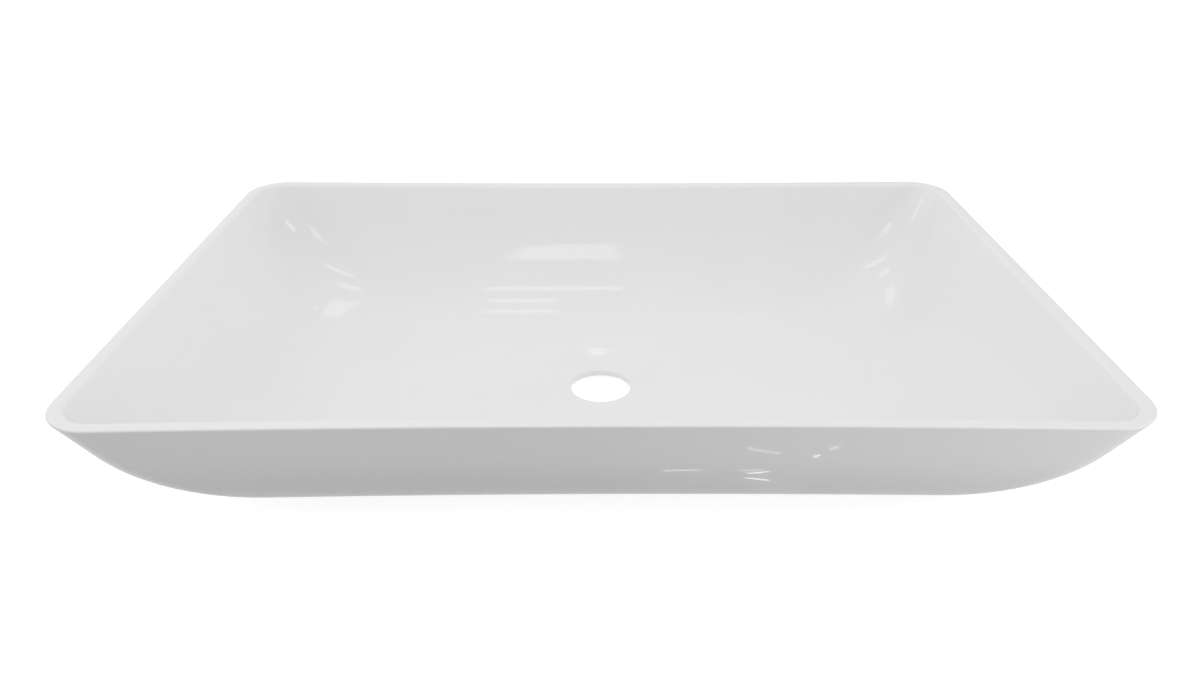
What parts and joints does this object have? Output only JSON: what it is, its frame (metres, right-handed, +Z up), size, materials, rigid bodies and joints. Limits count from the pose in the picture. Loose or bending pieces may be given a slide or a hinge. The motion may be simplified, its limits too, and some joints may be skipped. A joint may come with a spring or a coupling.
{
  "type": "vessel sink",
  "caption": "White rectangular vessel sink: a thin one-piece bowl with rounded corners, drawn-in long edges and a central waste hole, standing on a counter on soft pads.",
  "frame": {"origin": "on the counter, under the middle of the waste hole", "axes": "+X along the bowl's long side, +Y towards its back, +Z up through the waste hole"},
  "size_m": [0.5644, 0.3672, 0.093],
  "materials": {
    "white_glass": "opaque white, polished gloss",
    "clear_silicone": "clear silicone, satin",
    "seal_rubber": "black rubber, matte"
  },
  "bodies": {
    "root": {"glass_bowl": "white_glass", "seal_ring": "seal_rubber", "base_pad_front_left": "clear_silicone", "base_pad_front_right": "clear_silicone", "base_pad_rear_left": "clear_silicone", "base_pad_rear_right": "clear_silicone"}
  },
  "joints": []
}
